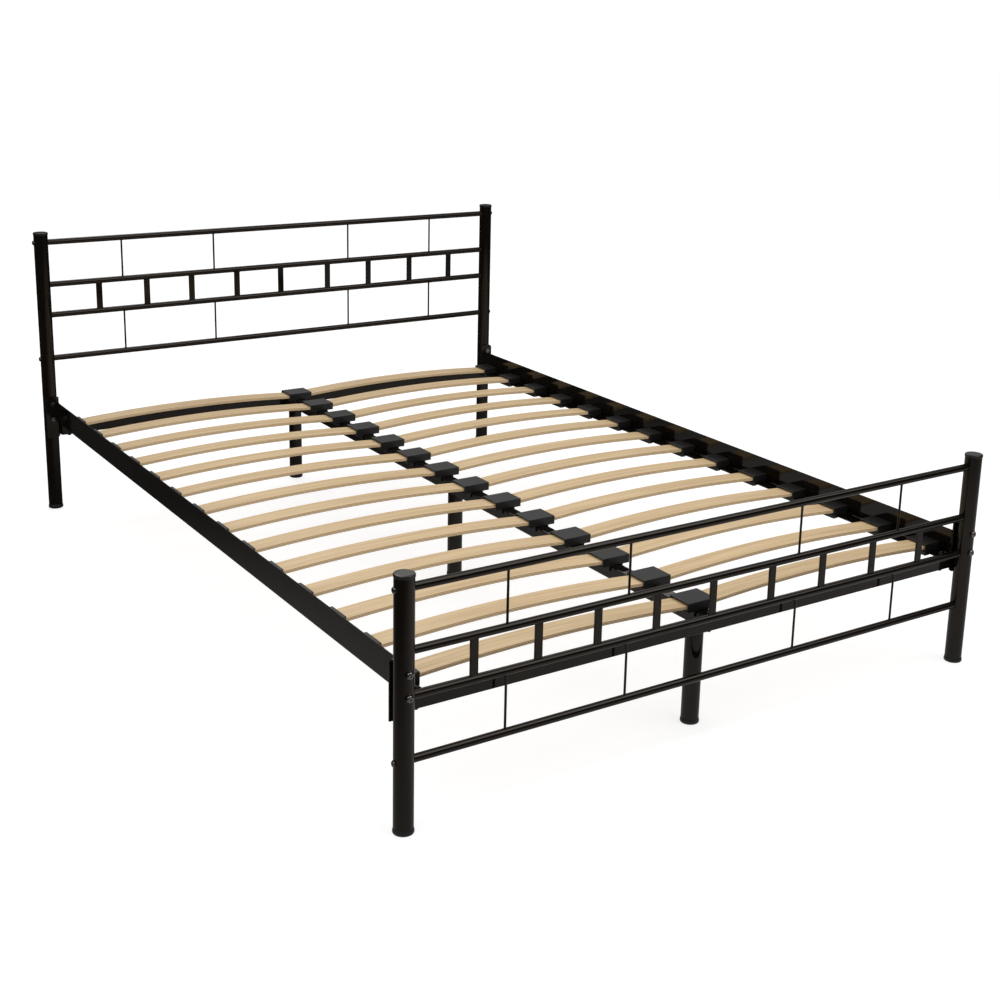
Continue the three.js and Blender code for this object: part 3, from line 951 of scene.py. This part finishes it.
class BED_OT_cross_bars(bpy.types.Operator):
    """Rectangular cross-bars with the screws and nuts that hold the side rails and the beam"""

    bl_idname = "bed.cross_bars"
    bl_label = "Cross-bars"

    def execute(self, context):
        rail = rail_stations()
        nut = nut_shape(STUD_HEX, 5 * MM, STUD_R)
        hole, rim, air = 3.2 * MM, 6.2 * MM, 0.05 * MM
        washer = turned([(hole, 0), (rim, 0), (rim, WASHER_THICK), (hole, WASHER_THICK)])
        ease(washer, 0.2 * MM, flats=False)
        top = rail.under - CLEARANCE
        floor = top - sizes().cross_height
        places = {"left": -rail.stud, "middle": 0, "right": rail.stud}
        for end in ENDS:
            node = f"cross_bar_{end}"
            low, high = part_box(node)
            centre = (low.y + high.y) / 2
            tube = profile((low.x, low.y, floor), (high.x, high.y, top), "X")
            holes = [(x, centre, (floor + top) / 2) for x in places.values()]
            drill(tube, "Z", hole, *holes, reach=sizes().cross_height)
            smooth(tube, flats=True)
            put(tube, f"{node}_tube", COAT, instead_of=[node])
            screw = self.screw(floor, high.z)
            for label, x in places.items():
                # The screw, washer and nut take the darker steel, whose darkness is painted shade.
                put(screw, f"{node}_screw_{label}", DULL_STEEL_PAINTED_SHADE, at(x, centre, 0), [node])
                put(washer, f"{node}_washer_{label}", DULL_STEEL_PAINTED_SHADE, at(x, centre, LEDGE_TOP + air))
                on_washer = at(x, centre, LEDGE_TOP + WASHER_THICK + 2 * air)
                put(nut, f"{node}_nut_{label}", DULL_STEEL_PAINTED_SHADE, on_washer)
            discard(tube, screw)
        discard(nut, washer)
        return {"FINISHED"}

    def screw(self, floor, top):
        """A hexagon screw whose head is under the bar."""
        head = rod_along("Z", STUD_HEX / math.sqrt(3), (0, 0, floor - 4 * MM), (0, 0, floor), HEX_SIDES)
        ease(head, 0.5 * MM, flats=False)
        shank = turned([(STUD_R, floor - 0.5 * MM), (STUD_R, top - 1 * MM), (STUD_R - 0.8 * MM, top)])
        return smooth(join([head, shank]))


class BED_OT_centre_beam(bpy.types.Operator):
    """The square centre beam with its end tabs"""

    bl_idname = "bed.centre_beam"
    bl_label = "Centre beam"

    def execute(self, context):
        low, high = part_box("centre_beam")
        under = rail_stations().under
        end_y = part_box("cross_bar_head")[0].y - 4 * MM
        tube = profile((low.x, -end_y, low.z), (high.x, end_y, high.z), "Y")
        drill(tube, "Z", M8_HOLE, *[(0, middle(f"centre_leg_{leg}").y, low.z) for leg in LEGS])
        smooth(tube, flats=True)
        put(tube, "centre_beam_tube", COAT, instead_of=["centre_beam"])
        tab = cuboid((low.x, end_y - 0.5 * MM, under), (high.x, high.y, LEDGE_TOP))
        bevel(tab, 6 * MM, 6, lambda a, b: abs(a.z - b.z) > MM and a.y > STUD_Y)
        drill(tab, "Z", LEDGE_HOLE, (0, STUD_Y, LEDGE_TOP))
        ease(tab, 0.5 * MM)
        margin, sink = 4 * MM, 0.4 * MM
        bead = strip_weld(high.x - low.x - 2 * margin, 1.5 * MM, seed=9)
        for end, side in ENDS.items():
            over = facing(side)
            put(tab, f"centre_beam_tab_{end}", COAT, over, ["centre_beam"])
            place = over @ at(low.x + margin, end_y + sink, under - sink)
            put(bead, f"centre_beam_weld_{end}", COAT, place)
        discard(tube, tab, bead)
        return {"FINISHED"}


class BED_OT_centre_legs(bpy.types.Operator):
    """Round centre legs with a threaded stud"""

    bl_idname = "bed.centre_legs"
    bl_label = "Centre legs"

    def execute(self, context):
        low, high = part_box("centre_leg_foot")
        radius = (high.x - low.x) / 2
        bore = radius - sizes().post_wall
        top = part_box("centre_beam")[0].z - CLEARANCE
        disc, edge, chamfer = 3 * MM, 1.5 * MM, 0.3 * MM
        tube = [(bore, top - disc), (bore, low.z), (radius - chamfer, low.z), (radius, low.z + chamfer)]
        crown = [*arc(radius - edge, top - edge, edge, 0, 85), (radius - 4 * MM, top)]
        leg = smooth(turned(tube + crown, ROUND_SIDES))
        tip = 1 * MM
        stud = smooth(turned([(4 * MM, top - 0.5 * MM), (4 * MM, high.z - tip), (4 * MM - tip, high.z)]))
        for name in LEGS:
            place = at(0, middle(f"centre_leg_{name}").y, 0)
            put(leg, f"centre_leg_{name}_tube", COAT, place, [f"centre_leg_{name}"])
            put(stud, f"centre_leg_{name}_stud", STEEL, place)
        discard(leg, stud)
        return {"FINISHED"}


# ---- screws through the posts


DOME_STEPS = 7
DOME_FOOT = 0.25  # share of a head's height below its dome
DOME_TURN = math.pi / 2.9
SOCKET_RIM = 0.66  # radius of a head's flat top to the width of its socket
SOCKET_DEPTH = 2 * MM
SADDLE_DEPTH = 5 * MM  # how far a washer reaches into the post before the post's round is cut out of it


def post_screw(node, kind):
    """A domed socket screw along +Z out of a post that runs along Y, and the saddle washer for its head."""
    axis = "XYZ".index(kind.axis)
    reach = extent(node)[axis]
    washer_r = extent(node).z / 2
    outside = max(abs(corner[axis]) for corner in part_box(node))
    crown = outside - (POST_X, POST_Y)[axis]
    washer_top = POST_R + CLEARANCE + WASHER_THICK
    soft, slope, chamfer = 0.6 * MM, 0.7 * MM, 0.3 * MM
    root = POST_R - SADDLE_DEPTH
    side = [(washer_r - soft, root), (washer_r, root), (washer_r, washer_top - slope)]
    washer = turned(side + [(washer_r - slope, washer_top)])
    drill(washer, "Y", POST_R + 0.5 * CLEARANCE, (0, 0, 0), reach=POST_R, sides=2 * ROUND_SIDES)
    rim, height = kind.head / 2, crown - washer_top
    foot = washer_top + height * DOME_FOOT
    outline = [(rim - chamfer, washer_top), (rim, washer_top + chamfer), (rim, foot)]
    for step in range(1, DOME_STEPS):
        share = step / DOME_STEPS
        rise = DOME_FOOT + (1 - DOME_FOOT) * math.sin(share * math.pi / 2)
        outline.append((rim * math.cos(share * DOME_TURN), washer_top + height * rise))
    head = turned(outline + [(kind.socket * SOCKET_RIM, crown)])
    drill(head, "Z", kind.socket / math.sqrt(3), (0, 0, crown), reach=SOCKET_DEPTH, sides=HEX_SIDES)
    radius, tip = kind.shank / 2, crown - reach
    shank = turned([(radius - 0.8 * MM, tip), (radius, tip + 1 * MM), (radius, washer_top + 0.5 * MM)])
    return smooth(join([head, shank])), smooth(washer)


def pointing(outward):
    """A turn for a post screw: its own Z points outward and its own Y up."""
    up = Vector((0, 0, 1))
    return Matrix((up.cross(outward), up, outward)).transposed().to_4x4()


class BED_OT_screws(bpy.types.Operator):
    """Domed socket screws with their washers, through the posts into the side rails and the boards"""

    bl_idname = "bed.screws"
    bl_label = "Screws"

    def execute(self, context):
        for name, kind in post_screws().items():
            screw, washer = post_screw(f"{name}_lower_foot_right", kind)
            for end, side, hand, way in CORNERS:
                outward = along(kind.axis) * (side if kind.axis == "Y" else way)
                for level in LEVELS:
                    node = f"{name}_{level}_{end}_{hand}"
                    place = at_post(side, way, middle(node).z) @ pointing(outward)
                    put(screw, f"{node}_screw", STEEL, place, [node])
                    put(washer, f"{node}_washer", COAT, place, [node])
            discard(screw, washer)
        return {"FINISHED"}


# ---- slats and holders


BOW_STEPS = 32
FACE_UP = 0.8  # a slat's face shows its grain, not its plies, when its normal's height is more than this
GRAIN_BY_ROW = Vector((1.7, 0.37, 0))
GRAIN_BY_HAND = Vector((0.9, -0.21, 0))
SADDLE_REACH = 36 * MM
HOLDER_NOSE = 8 * MM
POCKET_WALL = 2.6 * MM
POCKET_PLAY = 1 * MM
POCKET_LIFT = 0.4 * MM
HOOK_THICK = 4 * MM
HOOK_REACH = 6 * MM
SKIRT_THICK = 3.7 * MM
SKIRT_DROP = 11 * MM


def slat_stations():
    """Figures along the right half of a slat row."""
    rail = rail_stations()
    low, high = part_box(ROWS[0])
    hook = rail.edge - CLEARANCE
    floor = LEDGE_TOP + CLEARANCE
    return SimpleNamespace(
        inner=SADDLE_REACH - sizes().slat_grip,
        outer=hook - HOLDER_NOSE + sizes().slat_grip,
        holder_in=hook - HOLDER_NOSE,
        holder_out=rail.face - CLEARANCE,
        half_width=(high.y - low.y) / 2,
        floor=floor,
        top=floor + sizes().holder_height,
        hook=hook,
        hook_top=rail.under - CLEARANCE,
    )


def bowed_slat(station):
    """The right slat of a row at y = 0. Its flat coordinates are kept for the grain before it is bowed."""
    span = station.outer - station.inner
    half_x, half_y, half_z = span / 2, sizes().slat_width / 2, sizes().slat_thickness / 2
    slat = cuboid((-half_x, -half_y, -half_z), (half_x, half_y, half_z))
    bevel(slat, 2.2 * MM, 4, lambda a, b: abs(a.x - b.x) > half_x)
    ring_at(slat, "X", *[-half_x + span * i / BOW_STEPS for i in range(1, BOW_STEPS)])
    smooth(slat, flats=True)
    grain = slat.data.attributes.new("grain", "FLOAT_VECTOR", "POINT")
    for vertex in slat.data.vertices:
        grain.data[vertex.index].vector = vertex.co
    side = slat.data.attributes.new("side", "FLOAT_VECTOR", "CORNER")
    for face in slat.data.polygons:
        amount = 0.0 if abs(face.normal.z) > FACE_UP else 1.0
        for corner in face.loop_indices:
            side.data[corner].vector = (amount, 0, 0)
    bend = 8 * sizes().slat_rise / span  # the angle of a shallow arc
    slat.data.transform(turn(90, "X"))
    modify(slat, "SIMPLE_DEFORM", deform_method="BEND", deform_axis="Z", angle=bend)
    slat.data.transform(turn(-90, "X"))
    lowest = min(vertex.co.z for vertex in slat.data.vertices)
    base = station.floor + sizes().holder_floor
    slat.data.transform(at((station.inner + station.outer) / 2, 0, base - lowest))
    return slat


def end_holder(station):
    """The right end holder at y = 0: a pocket for the slat's end and a hook round the ledge's free edge."""
    wide = station.half_width
    holder = cuboid((station.holder_in, -wide, station.floor), (station.holder_out, wide, station.top))
    depth = sizes().slat_grip + POCKET_PLAY
    with editing(holder):
        pick(holder, "FACE", lambda place, normal: normal.x < -SQUARE)
        bpy.ops.mesh.inset(thickness=POCKET_WALL)
        bpy.ops.transform.translate(value=(0, 0, POCKET_LIFT))
        bpy.ops.mesh.extrude_region_move(TRANSFORM_OT_translate={"value": (depth, 0, 0)})
    ring_at(holder, "X", station.hook)

    def inner_sole(place, normal):
        return normal.z < -SQUARE and place.x < station.hook and place.z < station.floor + NEAR

    extrude(holder, (0, 0, station.hook_top - HOOK_THICK - station.floor), inner_sole)
    ring_at(holder, "Z", station.hook_top)
    tongue = (HOOK_REACH, 0, 0)
    extrude(holder, tongue, lambda place, normal: normal.x > SQUARE and place.z < station.hook_top)
    return ease(holder, 1.1 * MM, 3)


def saddle_holder(station):
    """The double holder over the beam at y = 0: a pocket each way, and skirts down the beam's sides."""
    wide = station.half_width
    holder = cuboid((-SADDLE_REACH, -wide, station.floor), (SADDLE_REACH, wide, station.top))
    half_height = (station.top + station.floor) / 2
    depth = sizes().slat_grip + POCKET_PLAY
    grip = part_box("centre_beam")[1].x + CLEARANCE
    skirt = grip + SKIRT_THICK
    ring_at(holder, "X", -skirt, -grip, grip, skirt)
    with editing(holder):
        pick(holder, "FACE", lambda place, normal: abs(normal.x) > SQUARE)
        bpy.ops.mesh.inset(thickness=POCKET_WALL, use_individual=True)

    def mouth(place, normal):
        return normal.x * way > SQUARE and abs(place.z - half_height) < MM and abs(place.y) < MM

    for way in HANDS.values():
        extrude(holder, (-way * depth, 0, 0), mouth)

    def beside_beam(place, normal):
        return normal.z < -SQUARE and grip < abs(place.x) < skirt and place.z < station.floor + NEAR

    extrude(holder, (0, 0, -SKIRT_DROP), beside_beam)
    return ease(holder, 1.0 * MM, 3)


class BED_OT_slats(bpy.types.Operator):
    """Two bowed birch slats in each row"""

    bl_idname = "bed.slats"
    bl_label = "Slats"

    def execute(self, context):
        slat = bowed_slat(slat_stations())
        for count, node in enumerate(ROWS):
            for hand, way in HANDS.items():
                place = at(0, middle(node).y, 0) @ facing(way)
                piece = put(slat, f"{node}_slat_{hand}", BIRCH, place, [node])
                shift = count * GRAIN_BY_ROW + way * GRAIN_BY_HAND
                for point in piece.data.attributes["grain"].data:
                    point.vector = Vector(point.vector) + shift
        discard(slat)
        return {"FINISHED"}


class BED_OT_holders(bpy.types.Operator):
    """Plastic holders at the slats' ends and over the beam"""

    bl_idname = "bed.holders"
    bl_label = "Slat holders"

    def execute(self, context):
        station = slat_stations()
        at_rail, at_beam = end_holder(station), saddle_holder(station)
        for node in ROWS:
            place = at(0, middle(node).y, 0)
            put(at_beam, f"{node}_holder_middle", PLASTIC, place, [node])
            for hand, way in HANDS.items():
                put(at_rail, f"{node}_holder_{hand}", PLASTIC, place @ facing(way), [node])
        discard(at_rail, at_beam)
        return {"FINISHED"}


# ---- stage


CAMERA_PLACE = (-1.9058, -3.1488, 1.4503)
CAMERA_TURN = 33.746  # degrees to the right of straight along the bed
CAMERA_DIP = 14.898
CAMERA_ROLL = 1.4245
CAMERA_LENS = 54.624
CAMERA_SHIFT = (-0.0223, -0.100)
CAMERA_CLIP = 200

WHITE = (1, 1, 1, 1)
FLOOR_SIZE = 60
FLOOR_GLOW = 1.28
FLOOR_GLOW_SHARE = 0.55
POOL_CENTRE = (0.8, -0.9, 0.0)
POOL_REACH = (1.0, 2.6)
POOL_LEVEL = (0.42, 0.03)
WORLD_LIGHT = 0.75
# Steps of the mirrored surroundings: from, to, level before, level after
CEILING = (0.35, 0.85, 0.03, 0.45)  # by height
BEHIND = (-0.95, -0.70, 1.0, 0.0)  # by how straight a direction points to the camera's side, -1 being away
ABOVE = (0.18, 0.40, 0.02, 1.0)  # by height
LAMPS = (
    # name, place, aim, size, watts
    ("upper_right", (1.4, -2.2, 3.2), (0.1, -0.3, 0.3), 2.8, 34),
    ("upper_left", (-2.6, -1.2, 3.0), (0.0, 0.0, 0.3), 2.0, 20),
    ("rear", (0.5, 3.6, 4.6), (0, 0, 0.4), 2.4, 48),
)


def floor_finish(tree, shader):
    """A pale floor that is white to the camera but for the bed's shadow, and mirrored as a pool of light."""
    tree.give(shader, Base_Color=(*looks().floor_colour, 1), Roughness=0.9, Specular_IOR_Level=0)
    place = tree.add("ShaderNodeTexCoord", "Object")
    distance = tree.math("DISTANCE", place, POOL_CENTRE, kind="ShaderNodeVectorMath")
    pool = tree.smooth_step(distance, *POOL_REACH, *POOL_LEVEL)
    strength = tree.by_ray(Is_Camera_Ray=FLOOR_GLOW, Is_Glossy_Ray=pool)
    share = tree.by_ray(Is_Camera_Ray=FLOOR_GLOW_SHARE, Is_Glossy_Ray=1)
    glow = tree.add("ShaderNodeEmission", Color=WHITE, Strength=strength)
    mix = tree.add("ShaderNodeMixShader", places={0: share, 1: shader.outputs["BSDF"], 2: glow})
    tree.give(tree.nodes["Material Output"], Surface=mix)


class BED_OT_stage(bpy.types.Operator):
    """Pale floor, soft lamps, white surroundings and the camera"""

    bl_idname = "bed.stage"
    bl_label = "Stage"

    def execute(self, context):
        deselect()
        bpy.ops.mesh.primitive_plane_add(size=FLOOR_SIZE)
        floor = hold_place()
        floor.name = "studio_floor"
        floor.data.materials.append(node_material("studio_floor", floor_finish))
        self.world(context)
        for lamp in LAMPS:
            self.lamp(*lamp)
        self.camera(context)
        return {"FINISHED"}

    def lamp(self, name, place, target, size, power):
        deselect()
        bpy.ops.object.light_add(type="AREA", location=place)
        lamp = bpy.context.active_object
        lamp.name = name
        lamp.data.size = size
        lamp.data.energy = power
        lamp.rotation_euler = (Vector(target) - Vector(place)).to_track_quat("-Z", "Y").to_euler()

    def world(self, context):
        """White to the camera. Reflections see a bright ceiling, white behind the bed and a dim front."""
        world = bpy.data.worlds.new("studio")
        context.scene.world = world
        tree = Tree(world)
        tree.nodes.clear()
        direction = tree.add("ShaderNodeTexCoord", "Generated")
        height = tree.add("ShaderNodeSeparateXYZ", "Z", Vector=direction)
        to_camera = Vector((CAMERA_PLACE[0], CAMERA_PLACE[1], 0)).normalized()
        side = tree.math("DOT_PRODUCT", direction, to_camera, kind="ShaderNodeVectorMath")
        backdrop = tree.math("MULTIPLY", tree.smooth_step(side, *BEHIND), tree.smooth_step(height, *ABOVE))
        mirrored = tree.math("MAXIMUM", tree.smooth_step(height, *CEILING), backdrop)
        strength = tree.by_ray(
            Is_Camera_Ray=1, Is_Transmission_Ray=1, Is_Glossy_Ray=mirrored, Is_Diffuse_Ray=WORLD_LIGHT
        )
        background = tree.add("ShaderNodeBackground", Color=WHITE, Strength=strength)
        tree.give(tree.nodes.new("ShaderNodeOutputWorld"), Surface=background)

    def camera(self, context):
        deselect()
        bpy.ops.object.camera_add(location=CAMERA_PLACE)
        camera = bpy.context.active_object
        camera.name = "camera"
        aim = turn(-CAMERA_TURN, "Z") @ turn(90 - CAMERA_DIP, "X") @ turn(CAMERA_ROLL, "Z")
        camera.rotation_euler = aim.to_euler()
        camera.data.lens = CAMERA_LENS
        camera.data.shift_x, camera.data.shift_y = CAMERA_SHIFT
        camera.data.clip_end = CAMERA_CLIP
        context.scene.camera = camera
        context.scene.view_settings.view_transform = "Standard"


# ---- panel and registration


STEPS = (
    BED_OT_posts, BED_OT_caps, BED_OT_glides,
    BED_OT_board_tubes, BED_OT_board_bars, BED_OT_board_rods, BED_OT_board_welds,
    BED_OT_side_rails, BED_OT_cross_bars, BED_OT_centre_beam, BED_OT_centre_legs,
    BED_OT_screws, BED_OT_slats, BED_OT_holders, BED_OT_stage,
)


class BED_PT_panel(bpy.types.Panel):
    """The steps that build the bed, with its sizes and colours"""

    bl_idname = "BED_PT_panel"
    bl_label = "Bed frame"
    bl_space_type = "VIEW_3D"
    bl_region_type = "UI"
    bl_category = "Bed"

    def draw(self, context):
        for step in STEPS:
            self.layout.operator(step.bl_idname)
        for group in (context.scene.bed_sizes, context.scene.bed_looks):
            box = self.layout.box()
            for name in group.__annotations__:
                box.prop(group, name)


CLASSES = (BedSizes, BedLooks, *STEPS, BED_PT_panel)


def register():
    for entry in CLASSES:
        bpy.utils.register_class(entry)
    bpy.types.Scene.bed_sizes = PointerProperty(type=BedSizes)
    bpy.types.Scene.bed_looks = PointerProperty(type=BedLooks)


def unregister():
    del bpy.types.Scene.bed_looks
    del bpy.types.Scene.bed_sizes
    for entry in reversed(CLASSES):
        bpy.utils.unregister_class(entry)


def main():
    register()
    for step in STEPS:
        group, name = step.bl_idname.split(".")
        getattr(getattr(bpy.ops, group), name)()


if __name__ == "__main__":
    main()
